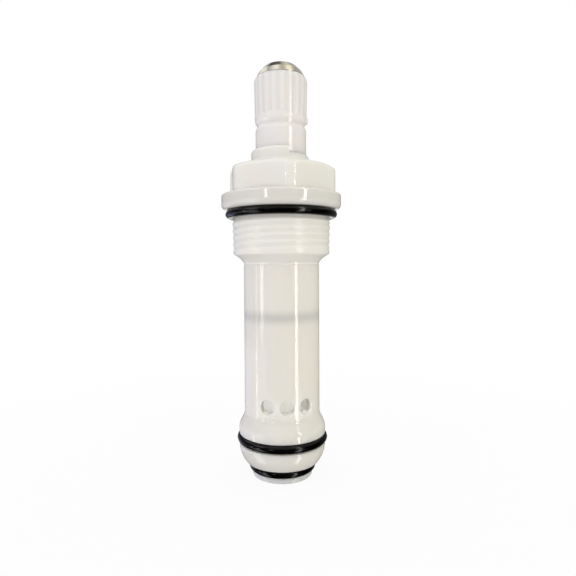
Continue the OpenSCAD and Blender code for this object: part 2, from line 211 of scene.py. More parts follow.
class Finishes(bpy.types.PropertyGroup):
    """Colours of the finishes"""

    bonnet: tint("Milky plastic of the bonnet", (0.84, 0.825, 0.79))
    barrel: tint("Milky plastic of the tube", (0.79, 0.775, 0.735))
    spindle: tint("Milky plastic of the spindle", (0.84, 0.805, 0.785))
    plunger: tint("White plastic of the plunger", (0.82, 0.795, 0.735))
    rubber: tint("Black rubber of the seal rings", (0.0005, 0.0005, 0.0005))
    metal: tint("Nickel plate of the insert", (0.70, 0.67, 0.60))
    steel: tint("Steel of the clip and the washer screw", (0.56, 0.55, 0.54))
    floor: tint("Pale floor", (0.94, 0.94, 0.94))
    flags: tint("Dark cloths that reflections see", (0.015, 0.015, 0.015))


class StageSettings(bpy.types.PropertyGroup):
    """Lamps, surroundings and camera"""

    sky: number("Even light", 0.78, 0, 4, "parts of full white")
    left_lamp: number("Left lamp", 0.48, 0, 50, "watts")
    right_lamp: number("Right lamp", 0.55, 0, 50, "watts")
    eye: length("Camera distance", 103.7)
    eye_z: length("Camera height", 44.3)


class StemSettings(bpy.types.PropertyGroup):
    """All settings of the stem"""

    barrel: part_of(BarrelSizes, "Barrel")
    bonnet: part_of(BonnetSizes, "Bonnet")
    spindle: part_of(SpindleSizes, "Spindle")
    inner: part_of(InnerSizes, "Inner Parts")
    finish: part_of(Finishes, "Finishes")
    stage: part_of(StageSettings, "Stage")


def all_sizes():
    """The stem's lengths in millimetres and its plain numbers, with the radii and heights that follow from them."""
    stem, sizes = bpy.context.scene.stem, {}
    for group in (stem.barrel, stem.bonnet, stem.spindle, stem.inner):
        for prop in group.bl_rna.properties:
            if prop.type in ("FLOAT", "INT"):
                value = getattr(group, prop.identifier)
                sizes[prop.identifier] = value / MM if prop.unit == "LENGTH" else value
                what, _, measure = prop.identifier.rpartition("_")
                if measure in ("d", "od"):
                    sizes[what + "_r"] = sizes[prop.identifier] / 2
    b = types.SimpleNamespace(**sizes)
    b.groove = b.ring_cord + 0.22  # height of a seal ring's groove
    b.flare_z = b.large_groove_z + b.groove + b.band_h
    b.flare_top = b.flare_z + b.flare_h
    b.bead_z = b.joint_z + b.spigot_h * 0.36  # the spigot snaps in with a bead
    b.thread_z = b.joint_z + b.taper_h
    b.thread_top = b.thread_z + b.thread_h
    b.flange_z = b.thread_top + b.ring_cord + 0.52  # with room for the relief and the seal ring
    b.flange_top = b.flange_z + b.flange_h
    b.screw_top = b.flange_z + b.flange_h * 0.28
    b.head_top = b.flange_top + b.flange_slope_h + b.head_h
    b.spline_top = b.spline_z + b.spline_h
    b.tip_edge_r = b.spline_r - 0.38  # where the cone stands on the spline
    b.piston_top = b.piston_ring_z + b.piston_h / 2
    b.clip_z = b.piston_top + b.swivel_h * 0.6
    b.swivel_top = b.piston_top + b.swivel_h
    b.bearing_r = b.spindle_r + b.running_gap
    b.socket_r = b.spigot_r + b.seat_gap
    b.swivel_socket_r = b.swivel_r + b.running_gap
    return b


# Sections


def soften(corners):
    """Turns corners into points, with an arc at each rounded corner between the first and the last."""
    points = [corners[0][:2]]
    for before, (r, z, rounding), after in zip(corners, corners[1:], corners[2:]):
        here = Vector((r, z))
        back, on = Vector(before[:2]) - here, Vector(after[:2]) - here
        opening = back.angle(on) if rounding > 0 else pi
        if opening > radians(176):
            points.append((r, z))
            continue
        a, b = back.normalized(), on.normalized()
        reach = min(rounding / tan(opening / 2), 0.45 * min(back.length, on.length))
        centre = here + (a + b).normalized() * (reach * tan(opening / 2) / sin(opening / 2))
        start, end = here + a * reach - centre, here + b * reach - centre
        beside = reach + min(SUPPORT, 0.4 * reach + 0.01)
        turn = pi - opening
        steps = max(2, ceil(degrees(turn) / 15))
        points.append(tuple(here + a * beside))
        for k in range(steps + 1):
            one, two = (sin(part * turn) / sin(turn) for part in (1 - k / steps, k / steps))
            points.append(tuple(centre + start * one + end * two))
        points.append(tuple(here + b * beside))
    return points + [corners[-1][:2]]


def flowing(points, steps):
    """A smooth curve through the given points."""
    ends = [tuple(2 * a - b for a, b in zip(points[0], points[1])), *points,
            tuple(2 * a - b for a, b in zip(points[-1], points[-2]))]
    curve = []
    for p0, p1, p2, p3 in zip(ends, ends[1:], ends[2:], ends[3:]):
        for t in (k / steps for k in range(steps)):
            curve.append(tuple(
                0.5 * (2 * b + (c - a) * t + (2 * a - 5 * b + 4 * c - d) * t * t + (3 * b - a - 3 * c + d) * t ** 3)
                for a, b, c, d in zip(p0, p1, p2, p3)))
    return curve + [tuple(points[-1])]


def straight(first, last, count):
    """Points on a straight line, in equal steps."""
    return [tuple(a + (b - a) * k / count for a, b in zip(first, last)) for k in range(count + 1)]


def arc(centre, radius, start, end, steps):
    """Points on an arc of a section, with angles in degrees from the outward direction."""
    angles = [radians(start + (end - start) * k / steps) for k in range(steps + 1)]
    return [(centre[0] + radius * cos(a), centre[1] + radius * sin(a)) for a in angles]


def groove(face_r, floor_r, start, end, edge=0.1, floor_edge=0.1):
    """The four corners of a groove from one height to another."""
    return [(face_r, start, edge), (floor_r, start, floor_edge), (floor_r, end, floor_edge), (face_r, end, edge)]


def smooth_step(low, high, x):
    """0 below low, 1 above high and a soft rise between."""
    t = min(max((x - low) / (high - low), 0.0), 1.0)
    return t * t * (3 - 2 * t)


# Meshes


def place(r, z, azimuth):
    """The point in metres at a radius and height in millimetres and an azimuth in degrees."""
    a = radians(azimuth)
    return (r * sin(a) * MM, -r * cos(a) * MM, z * MM)


def bridge(mesh, rows, looped=False, skip=None):
    """Makes the faces between neighbouring rows of vertices, apart from those to skip."""
    for i, (one, two) in enumerate(zip(rows, rows[1:])):
        for j in range(len(one) - (0 if looped else 1)):
            if not (skip and skip(i, j)):
                n = (j + 1) % len(one)
                mesh.faces.new((one[j], two[j], two[n], one[n]))


def turned(name, section, closed=True, columns=COLUMNS):
    """A closed mesh turned round the axis.

    section is a list of points, or a function that gives the list for an azimuth, always of one length.
    A section that isn't closed starts and ends on the axis.
    """
    mesh = bmesh.new()
    grid = []
    for azimuth in ((k + 0.5) * 360 / columns for k in range(columns)):
        points = section(azimuth) if callable(section) else section
        grid.append([mesh.verts.new(place(r, z, azimuth)) for r, z in (points if closed else points[1:-1])])
    bridge(mesh, grid + grid[:1], closed)
    for end in () if closed else (0, -1):
        pole = mesh.verts.new((0, 0, points[end][1] * MM))
        for one, two in zip(grid, grid[1:] + grid[:1]):
            mesh.faces.new((one[end], two[end], pole))
    return wrap(name, mesh)


def wrap(name, mesh):
    """Closes a bmesh off as a smooth object with its faces outwards."""
    bmesh.ops.delete(mesh, geom=[v for v in mesh.verts if not v.link_faces], context="VERTS")
    bmesh.ops.recalc_face_normals(mesh, faces=mesh.faces)
    data = bpy.data.meshes.new(name)
    mesh.to_mesh(data)
    mesh.free()
    data.shade_smooth()
    piece = bpy.data.objects.new(name, data)
    bpy.context.scene.collection.objects.link(piece)
    return piece


# Node trees


class Value:
    """A number's socket that can stand in an expression; each operation adds its Math node."""

    def __init__(self, sheet, socket):
        self.sheet, self.socket = sheet, socket

    def apply(self, operation, *others):
        """This value and others in a Math operation."""
        return self.sheet.add("Math", dict(enumerate((self, *others))), operation=operation)

    __add__ = __radd__ = partialmethod(apply, "ADD")
    __mul__ = __rmul__ = partialmethod(apply, "MULTIPLY")
    __sub__ = partialmethod(apply, "SUBTRACT")
    __truediv__ = partialmethod(apply, "DIVIDE")
    __abs__ = partialmethod(apply, "ABSOLUTE")

    def __rsub__(self, other):
        return self.sheet.add("Math", {0: other, 1: self}, operation="SUBTRACT")


class Sheet:
    """A node tree that is being drawn up."""

    def __init__(self, tree):
        self.tree = tree
        self.tree.nodes.clear()

    def add(self, kind, values=None, out=0, **settings):
        """Adds a node with its sockets' values or links and its settings, and gives one of its outputs."""
        self.last = node = self.tree.nodes.new(kind if "Node" in kind else "ShaderNode" + kind)
        for key, value in settings.items():
            setattr(node, key, value)
        for key, value in (values or {}).items():
            if isinstance(value, Value):
                self.tree.links.new(value.socket, node.inputs[key])
            else:
                node.inputs[key].default_value = value
        return self.pick(out) if node.outputs else node

    def pick(self, out):
        """An output of the node that was added last."""
        return Value(self, self.last.outputs[out])

    def axes(self, vector):
        """The three parts of a vector."""
        self.add("SeparateXYZ", {0: vector})
        return [self.pick(axis) for axis in "XYZ"]

    def blend(self, factor, first, second):
        """A mix of two colours, each given by a socket or by its three levels."""
        first, second = (tone if isinstance(tone, Value) else (*tone, 1.0) for tone in (first, second))
        return self.add("Mix", {"Factor": factor, "A": first, "B": second}, "Result", data_type="RGBA")

    def remap(self, value, low, high, new_low, new_high):
        """A value carried over from one range to another, softly."""
        return self.add("MapRange", {"Value": value, "From Min": low, "From Max": high, "To Min": new_low,
                                     "To Max": new_high}, interpolation_type="SMOOTHSTEP")

    def rise(self, value, low, high, most=1.0):
        """0 below low and the most above high."""
        return self.remap(value, low, high, 0.0, most)

    def fall(self, value, low, high):
        """1 below low and 0 above high."""
        return self.remap(value, low, high, 1.0, 0.0)

    def noise(self, where, scale, detail=2.0, rough=0.5, stretch=None):
        """Noise from 0 to 1 on the object's own coordinates, stretched along the axis if asked."""
        if stretch:
            where = self.add("Mapping", {"Vector": where, "Scale": (1.0, 1.0, stretch)})
        return self.add("TexNoise", {"Vector": where, "Scale": scale, "Detail": detail, "Roughness": rough}, "Fac")


RIDGE_SETTINGS = ("Ridges Round", "Ridges Per Metre", "Shift", "Depth", "Crest Share", "Flank Share", "Low End",
                  "High End", "Run-out", "Least Radius", "Greatest Radius")


def ridges_tree():
    """The tree that cuts ridges round the axis: a thread where they climb, or a spline where they stand upright."""
    tree = bpy.data.node_groups.new("ridges", "GeometryNodeTree")
    sheet = Sheet(tree)
    sockets = [("Geometry", "Geometry"), *((name, "Float") for name in RIDGE_SETTINGS), ("Material", "Material")]
    for name, kind in sockets:
        tree.interface.new_socket(name, in_out="INPUT", socket_type="NodeSocket" + kind)
    tree.interface.new_socket("Geometry", in_out="OUTPUT", socket_type="NodeSocketGeometry")
    sheet.add("NodeGroupInput")
    given = {name: sheet.pick(name) for name, _ in sockets}
    round_count, per_metre, shift, depth, crest, flank, low_end, high_end, run_out, least, greatest = (
        given[name] for name in RIDGE_SETTINGS)
    x, y, z = sheet.axes(sheet.add("GeometryNodeInputPosition"))
    round_axis = sheet.add("CombineXYZ", {"X": x, "Y": y})
    radius = sheet.add("VectorMath", {0: round_axis}, "Value", operation="LENGTH")
    outward = sheet.add("VectorMath", {0: round_axis}, "Vector", operation="NORMALIZE")
    angle = y.apply("ARCTAN2", x)
    phase = angle * (1 / tau) * round_count + z * per_metre + shift
    aside = abs(phase.apply("FRACT") - 0.5) * 2.0
    valley = 1 - sheet.fall(aside, crest, crest + flank)
    within = radius.apply("GREATER_THAN", least) * radius.apply("LESS_THAN", greatest)
    held = sheet.add("GeometryNodeInputNamedAttribute", {"Name": "held"}, "Attribute", data_type="FLOAT")
    inward = (depth * valley * sheet.rise(z, low_end, low_end + run_out)
              * sheet.fall(z, high_end - run_out, high_end) * within * (1 - held) * -1.0)
    offset = sheet.add("VectorMath", {0: outward, "Scale": inward}, "Vector", operation="SCALE")
    moved = sheet.add("GeometryNodeSetPosition", {"Geometry": given["Geometry"], "Offset": offset})
    real = sheet.add("GeometryNodeRealizeInstances", {"Geometry": moved})
    done = sheet.add("GeometryNodeSetMaterial", {"Geometry": real, "Material": given["Material"]})
    sheet.add("NodeGroupOutput", {"Geometry": done})
    return tree


def cut_ridges(piece, kind, count, pitch, shift, depth, shares, heights, run_out, radii):
    """Cuts ridges into a piece, with sizes in millimetres, and keeps the result as its plain mesh.

    shares are those of the crest and the flank, and a pitch of None lets the ridges stand upright.
    """
    per_metre = 1 / (pitch * MM) if pitch else 0.0
    values = dict(zip(RIDGE_SETTINGS, (count, per_metre, shift, depth * MM, *shares, *(
        size * MM for size in (*heights, run_out, *radii)))), Material=finish(kind))
    modifier = piece.modifiers.new("ridges", "NODES")
    modifier.node_group = bpy.data.node_groups.get("ridges") or ridges_tree()
    for item in modifier.node_group.interface.items_tree:
        if item.in_out == "INPUT" and item.name in values:
            modifier[item.identifier] = values[item.name]
    ready = piece.evaluated_get(bpy.context.evaluated_depsgraph_get())
    data = bpy.data.meshes.new_from_object(ready)
    piece.modifiers.clear()
    piece.data = data


# Finishes


def times(colour, *by):
    """A colour with its levels multiplied by three numbers, or all by one."""
    return [level * part for level, part in zip(colour, by if len(by) == 3 else by * 3)]


def new_material(name, paint, *values):
    """A material whose shader comes from paint, given a sheet, the object's own coordinates and the values."""
    material = bpy.data.materials.new(name)
    material.use_nodes = True
    sheet = Sheet(material.node_tree)
    shader = paint(sheet, sheet.add("TexCoord", out="Object"), *values)
    sheet.add("OutputMaterial", {"Surface": shader})
    return material


def surface(sheet, base, rough, skin, bump, more, distance=0.00003):
    """A shader with a colour, a roughness, the bump of its skin and what else it needs."""
    normal = sheet.add("Bump", {"Strength": bump, "Distance": distance, "Height": skin}, "Normal")
    return sheet.add("BsdfPrincipled", {"Base Color": base, "Roughness": rough, "Normal": normal, **more})


def milky_plastic(sheet, where, colour, cloud, low, high, depth, bump, bands=(), dull=None):
    """Milky moulded plastic that light sinks into, with flow marks, a fine skin and a parting line.

    Each band paints shade or light into a stretch of the height: (low, high, softness, tone, share, radius). One with
    a radius shows only nearer to the axis than that, as in a hole through the wall. The stretch of height given as
    dull has less polish.
    """
    x, y, z = sheet.axes(where)
    patches = sheet.noise(where, 110.0, 3.0, 0.55) * 0.65 + sheet.noise(where, 260.0, stretch=0.12) * 0.35
    base = sheet.blend(sheet.rise(patches, 0.35, 0.68), colour, times(colour, *cloud))
    for start, end, soft, tone, most, within in bands:
        inside = sheet.rise(z, (start - soft) * MM, (start + soft) * MM, most)
        inside = inside * sheet.fall(z, (end - soft) * MM, (end + soft) * MM)
        if within:
            inside = inside * sheet.fall((x * x + y * y).apply("SQRT"), (within - 0.9) * MM, within * MM)
        base = sheet.blend(inside, base, tone)
    rough = low + (high - low) * sheet.noise(where, 900.0, 3.0, 0.6)
    if dull:
        start, end = dull
        rough = rough + sheet.rise(z, start * MM, (start + 0.4) * MM, 0.2) * sheet.fall(z, (end - 0.4) * MM, end * MM)
    skin = sheet.noise(where, 2600.0) * 0.25 + sheet.noise(where, 420.0, stretch=0.35) * 1.2
    skin = skin + sheet.fall(abs(y), 0.00002, 0.00009) * 1.6
    return surface(sheet, base, rough, skin, bump, {
        "IOR": 1.48, "Subsurface Weight": 1.0, "Subsurface Radius": (1.0, 0.96, 0.9), "Subsurface Scale": depth * MM})


def plain_plastic(sheet, where, colour):
    """White moulded plastic of the hidden working parts."""
    base = sheet.blend(sheet.noise(where, 240.0, 3.0), colour, times(colour, 0.95))
    rough = 0.3 + 0.15 * sheet.noise(where, 1200.0)
    return surface(sheet, base, rough, sheet.noise(where, 1500.0), 0.3, {
        "Subsurface Weight": 1.0, "Subsurface Radius": (1.0, 0.9, 0.8), "Subsurface Scale": 0.004})


def seal_rubber(sheet, where, colour, low, high):
    """Black moulded rubber with a greased shine that breaks up in smudges."""
    smudge = sheet.rise(sheet.noise(where, 420.0, 4.0, 0.6), 0.4, 0.66)
    base = sheet.blend(smudge, colour, [level * 2 + 0.0004 for level in colour])
    skin = sheet.noise(where, 1500.0, 3.0, 0.55)
    return surface(sheet, base, low + (high - low) * smudge, skin, 0.05, {"Specular IOR Level": 0.28})


def turned_metal(sheet, where, colour, low, high, bump):
    """Plated or plain turned metal with fine rings from the lathe."""
    height = sheet.axes(where)[2]
    rings = sheet.add("TexNoise", {"W": height, "Scale": 9000.0, "Detail": 2.0}, "Fac", noise_dimensions="1D")
    cloud = sheet.noise(where, 500.0, 3.0, 0.6)
    base = sheet.blend(cloud, colour, times(colour, 0.86))
    rough, skin = low + (high - low) * cloud, rings * 0.7 + cloud * 0.5
    return surface(sheet, base, rough, skin, bump, {"Metallic": 1.0}, 0.00002)


def finish(kind):
    """The finish of that kind, made the first time it is asked for; the solids' own plain ones have bare names."""
    name = kind + "_finish"
    if name in bpy.data.materials:
        return bpy.data.materials[name]
    tones, b = bpy.context.scene.stem.finish, all_sizes()
    # painted shade and light: the whole flange 12% darker, the piston ring's shade seen through the tube at its rest
    # height, shade in the ports and a lighter foot
    flange_shade = (b.flange_z, b.flange_top, 0.4, (0, 0, 0), 0.12, None)
    dull_thread = (b.thread_z, b.flange_z - b.ring_cord)
    ring_shade = (b.piston_ring_z - 0.5, b.piston_ring_z + 1.3, 1.1, (0.1, 0.14, 0.17), 0.22, None)
    port_shade = (b.port_z - 1.2, b.port_z + 2.5, 0.3, (0.25, 0.22, 0.18), 0.6, b.tube_r - 0.15)
    foot_glow = (-1.0, 1.2, 0.3, (1.0, 0.93, 0.9), 0.9, None)
    return new_material(name, *{
        "bonnet_plastic": (milky_plastic, tones.bonnet, (1.02, 1.0, 0.98), 0.06, 0.11, 1.0, 0.14, (flange_shade,),
                           dull_thread),
        "barrel_plastic": (milky_plastic, tones.barrel, (1.01, 0.99, 0.98), 0.08, 0.13, 2.0, 0.06,
                           (ring_shade, port_shade, foot_glow)),
        "spindle_plastic": (milky_plastic, tones.spindle, (0.99, 1.0, 1.01), 0.09, 0.16, 2.0, 0.2),
        "plunger_plastic": (plain_plastic, tones.plunger),
        "seal_rubber": (seal_rubber, tones.rubber, 0.1, 0.2),
        "washer_rubber": (seal_rubber, times(tones.rubber, 24), 0.4, 0.6),
        "insert_metal": (turned_metal, tones.metal, 0.1, 0.2, 0.25),
        "steel": (turned_metal, tones.steel, 0.25, 0.4, 0.4),
    }[kind])


def hand_over(piece, node, kind, body):
    """Gives a finished piece its finish, body and slot, and lets it stand for its solid."""
    piece.data.materials.clear()
    piece.data.materials.append(finish(kind))
    held = piece.data.attributes.get("held")
    if held:
        piece.data.attributes.remove(held)
    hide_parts(node)
    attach(piece, body)


def dress_solid(node, kind):
    """Gives a solid that stays as it is its finish."""
    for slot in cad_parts[node].material_slots:
        slot.material = finish(kind)


# Pieces


def tube_radius(b, z):
    """The tube's outer radius at a height, with its draft."""
    return b.tube_r - b.tube_draft * min(max((b.joint_z - z) / (b.joint_z - b.flare_top), 0.0), 1.0)


def barrel_section(b, band_low, band_high, band_rows):
    """The barrel's closed section, and where its port band's rows lie outside and inside."""
    small_floor, large_floor = b.small_ring_r - b.ring_cord, b.large_ring_r - b.ring_cord
    outlet_r, shoulder_r, bore_r = b.outlet_r, b.shoulder_r, b.bore_r
    lip_z, large_z, large_top = b.foot_h + b.groove, b.large_groove_z, b.large_groove_z + b.groove
    inset, drop = shoulder_r - b.lip_r, large_z - lip_z
    bowl_r = (inset * inset + drop * drop) / (2 * inset)
    bowl = [(shoulder_r - bowl_r + sqrt(bowl_r ** 2 - (drop - drop * k / 9) ** 2), lip_z + drop * k / 9, 0)
            for k in range(1, 9)]
    narrow = tube_radius(b, b.flare_top)
    flare = [(narrow + (shoulder_r - narrow) * (1 + cos(pi * k / 16)) / 2, b.flare_z + b.flare_h * k / 16, 0)
             for k in range(1, 16)]
    outside = soften([
        (outlet_r, 1.0, 0), (outlet_r, 0, 0.25), (b.foot_r, 0, 0.16), (b.foot_r, b.foot_h, 0.1),
        (small_floor, b.foot_h, 0.1), (small_floor, lip_z, 0.1), (b.lip_r, lip_z, 0.18), *bowl,
        (shoulder_r, large_z, 0.12), (large_floor, large_z, 0.1), (large_floor, large_top, 0.1),
        (shoulder_r, large_top, 0.14), (shoulder_r, b.flare_z, 0), *flare, (narrow, b.flare_top, 0),
        (tube_radius(b, band_low), band_low, 0)])
    first = len(outside) - 1
    outside += [(tube_radius(b, z), z) for _, z in straight((0, band_low), (0, band_high), band_rows)[1:]]
    spigot_r, spigot_top, above = b.spigot_r, b.joint_z + b.spigot_h, band_high + 0.2
    outside += soften([
        (tube_radius(b, above), above, 0), (b.tube_r, b.joint_z, 0.13), (spigot_r, b.joint_z, 0.05),
        (spigot_r, b.bead_z - 0.4, 0), (spigot_r + 0.18, b.bead_z - 0.2, 0.1), (spigot_r + 0.18, b.bead_z + 0.2, 0.1),
        (spigot_r, b.bead_z + 0.4, 0), (spigot_r, spigot_top - 0.4, 0), (spigot_r - 0.25, spigot_top, 0.08),
        (bore_r, spigot_top, 0.15), (bore_r, spigot_top - 2, 0)])
    outside += [(bore_r, band_high + 6.0), (bore_r, band_high + 0.3)]
    second = len(outside)
    outside += straight((bore_r, band_high), (bore_r, band_low), band_rows)
    floor_z, rim_r = b.seat_z - 0.9, outlet_r + 0.8
    outside += soften([
        (bore_r, band_low - 0.3, 0), (bore_r, floor_z, 0.4), (rim_r, floor_z, 0.15), (rim_r, b.seat_z, 0.2),
        (outlet_r, b.seat_z, 0.15), (outlet_r, 2.5, 0)])
    return outside, first, second


def port_wall(mesh, b, centre, loop_out, loop_in):
    """Builds one side port through the wall between a loop of the outer skin and one of the bore."""
    a = radians(centre)
    outward, across = Vector((sin(a), -cos(a), 0)), Vector((cos(a), sin(a), 0))
    port_r, edge, inner_edge = b.port_r, b.port_edge, 0.06

    def flat(vert):
        local = vert.co / MM
        return local.dot(across), local.z - b.port_z

    rim_out, rim_in = [flat(vert) for vert in loop_out], [flat(vert) for vert in loop_in]
    toward = [atan2(z, x) for x, z in rim_out]
    rings = [loop_out]

    def ring(radius, depth, below_skin, above_bore, morph=0, rim=rim_out):
        verts = []
        for angle, (rim_x, rim_z) in zip(toward, rim):
            x = radius * cos(angle) * (1 - morph) + rim_x * morph
            z = radius * sin(angle) * (1 - morph) + rim_z * morph
            skin = sqrt(tube_radius(b, b.port_z + z) ** 2 - x * x) - below_skin
            bore = sqrt(b.bore_r ** 2 - x * x) + above_bore
            reach = skin * (1 - depth) + bore * depth
            verts.append(mesh.verts.new((outward * reach + across * x + Vector((0, 0, z + b.port_z))) * MM))
        rings.append(verts)

    for morph in (0.78, 0.56, 0.36, 0.18, 0.06, 0.0):
        ring(port_r + edge, 0, 0, 0, morph)
    for turn in map(radians, range(15, 91, 15)):
        ring(port_r + edge * (1 - sin(turn)), 0, edge * (1 - cos(turn)), 0)
    for depth in (0.06, 0.35, 0.7, 0.95):
        ring(port_r, depth, edge, inner_edge)
    for turn in map(radians, (0, 45, 90)):
        ring(port_r + inner_edge * (1 - cos(turn)), 1, 0, inner_edge * (1 - sin(turn)))
    ring(port_r + inner_edge, 1, 0, 0, 0.4, rim_in)
    bridge(mesh, [*rings, loop_in], True)


def make_barrel(b):
    """The tube and seat nose in one closed mesh, with two rows of side ports."""
    band_low, band_high, band_rows = b.port_z - 2.1, b.port_z + 2.1, 26
    section, first, second = barrel_section(b, band_low, band_high, band_rows)
    mesh = bmesh.new()
    grid = [[mesh.verts.new(place(r, z, k + 0.5)) for r, z in section] for k in range(COLUMNS)]
    centres = [side + b.port_turn + i * b.port_step for side in (0, 180) for i in (-1, 0, 1)]
    half = b.port_step // 2
    spans = [(round(centre - half - 0.5) % COLUMNS, centre) for centre in centres]
    cut = {(start + i) % COLUMNS for start, _ in spans for i in range(2 * half)}
    bands = {*range(first, first + band_rows), *range(second, second + band_rows)}
    bridge(mesh, grid + grid[:1], True, lambda k, j: k in cut and j in bands)
    for start, centre in spans:
        columns = [grid[(start + i) % COLUMNS] for i in range(2 * half + 1)]

        def loop(rows):
            return ([column[rows[0]] for column in columns[:-1]] + [columns[-1][row] for row in rows[:-1]]
                    + [column[rows[-1]] for column in columns[:0:-1]] + [columns[0][row] for row in rows[:0:-1]])

        port_wall(mesh, b, centre, loop(range(first, first + band_rows + 1)),
                  loop(range(second + band_rows, second - 1, -1)))
    return wrap("tube_and_nose", mesh)


def hex_radius(flat_r, corner, azimuth):
    """The radius of a hexagon with rounded corners, at an azimuth from one of its corners."""
    a = radians(abs((azimuth + 30) % 60 - 30))
    across = cos(radians(30))
    edge_r = (flat_r - corner) / across
    if a < atan2(corner / 2, edge_r + corner * across):
        return edge_r * cos(a) + sqrt(corner ** 2 - (edge_r * sin(a)) ** 2)
    return flat_r / cos(radians(30) - a)


def collar_points(b, azimuth):
    """The neck collar's part of the bonnet's section: its skirt, and above it the low part or the raised stop."""
    collar_r, foot_r, bearing_r = b.collar_r, b.collar_low_r, b.bearing_r
    collar_top, low_top = b.head_top + b.collar_h, b.head_top + b.collar_low_h
    lip = bearing_r + 0.18
    slim = (foot_r - lip) / b.collar_low_h
    meet_z = b.head_top + (foot_r - collar_r) / slim
    skirt = [(foot_r + 0.3, b.head_top), (foot_r + 0.1, b.head_top + 0.03), (foot_r - 0.06, b.head_top + 0.14)]
    skirt += straight((foot_r - 0.3 * slim, b.head_top + 0.3), (collar_r + 0.25 * slim, meet_z - 0.25), 4)
    over_r = collar_r - bearing_r - 0.1
    high = straight((collar_r + 0.02, meet_z), (collar_r, collar_top - over_r - 0.05), 4)
    high += arc((collar_r - over_r, collar_top - over_r), over_r, 0, 90, 8)
    low = straight((collar_r, meet_z), (lip + 0.2 * slim, low_top - 0.2), 7)
    low += arc((lip - 0.02, low_top - 0.12), 0.12, 30, 90, 5)
    for side, top in ((high, collar_top), (low, low_top)):
        side += [(bearing_r + 0.05, top - 0.02), (bearing_r, top - 0.1)]
    behind = (b.stop_end - azimuth) % 360
    raised = smooth_step(0, 2.4, behind) * (1 - smooth_step(b.stop_sweep - 2.4, b.stop_sweep, behind))
    return skirt + [tuple(p + (q - p) * raised for p, q in zip(one, two)) for one, two in zip(low, high)]


def bonnet_section(b, azimuth):
    """The bonnet's closed section at an azimuth."""
    tube_r, socket_r, flange_r, relief_r = b.tube_r, b.socket_r, b.flange_r - HAIR, b.ring_r - b.ring_cord
    low_r, slope_r = b.thread_r - 0.18, flange_r - 0.7
    points = soften([(socket_r, b.joint_z + 0.6, 0), (socket_r, b.joint_z, 0.1), (tube_r, b.joint_z, 0.13),
                     (tube_r + 0.02, b.joint_z + 0.3, 0)])
    points += flowing([(tube_r + (low_r - tube_r) * f, b.joint_z + b.taper_h * g) for f, g in (
        (0.03, 0.17), (0.13, 0.27), (0.42, 0.52), (0.85, 0.8), (0.98, 0.93), (1.0, 1.04))], 5)
    points += straight((low_r, b.thread_z + 0.15), (b.thread_r, b.thread_top - 0.35), round(b.thread_h / 0.08))[1:]
    points += soften([
        (b.thread_r, b.thread_top - 0.33, 0), (relief_r, b.thread_top + 0.15, 0.3), (relief_r, b.flange_z, 0.2),
        (flange_r, b.flange_z, b.flange_turn), (flange_r, b.flange_top, 0.6), (slope_r, b.flange_top + 0.04, 0)])[1:]

    head_r, foot_soft = hex_radius(b.head_r, b.head_corner, azimuth - b.head_turn), 0.24
    foot_r = min(head_r + foot_soft, slope_r - 0.04)
    foot_z = b.flange_top + 0.04 + (b.flange_slope_h - 0.04) * (slope_r - foot_r) / (slope_r - b.head_r + 0.3)
    for a in map(radians, (0, 30, 60, 90)):
        points.append((foot_r - (foot_r - head_r) * sin(a), foot_z + foot_soft * (1 - cos(a))))
    over, over_z, soft = b.head_over, b.head_top - b.head_over, b.head_soft

    def trimmed(r, z):
        lift = min(max(z - over_z, 0), over)
        corner_r = b.head_edge_r - over + sqrt(over * over - lift * lift) + 0.03
        return (r + corner_r - sqrt((r - corner_r) ** 2 + 0.12 ** 2)) / 2, z

    wall = straight((head_r, foot_z + foot_soft + 0.1), (head_r, over_z), 3)
    wall += straight((head_r, over_z), (head_r, b.head_top - soft), 6)[1:-1]
    wall += [(head_r - soft * (1 - cos(a)), b.head_top - soft + soft * sin(a))
             for a in map(radians, range(0, 91, 15))]
    points += [trimmed(r, z) for r, z in wall]
    collar = collar_points(b, azimuth)
    points += straight((points[-1][0], b.head_top), collar[0], 5)[1:-1] + collar
    nut_r, bead_r, nut_top = b.screw_r + b.running_gap, socket_r + 0.2, b.screw_top + 0.1
    socket_top = b.joint_z + b.spigot_h + (b.spigot_r - b.screw_r) * 0.74 + 0.1
    return points + soften([
        (b.bearing_r, b.head_top + b.collar_low_h - 0.6, 0), (b.bearing_r, nut_top, 0.1), (nut_r, nut_top, 0.1),
        (nut_r, socket_top, 0.1), (socket_r, socket_top, 0.1), (socket_r, b.bead_z + 0.45, 0),
        (bead_r, b.bead_z + 0.22, 0.08), (bead_r, b.bead_z - 0.22, 0.08), (socket_r, b.bead_z - 0.45, 0)])


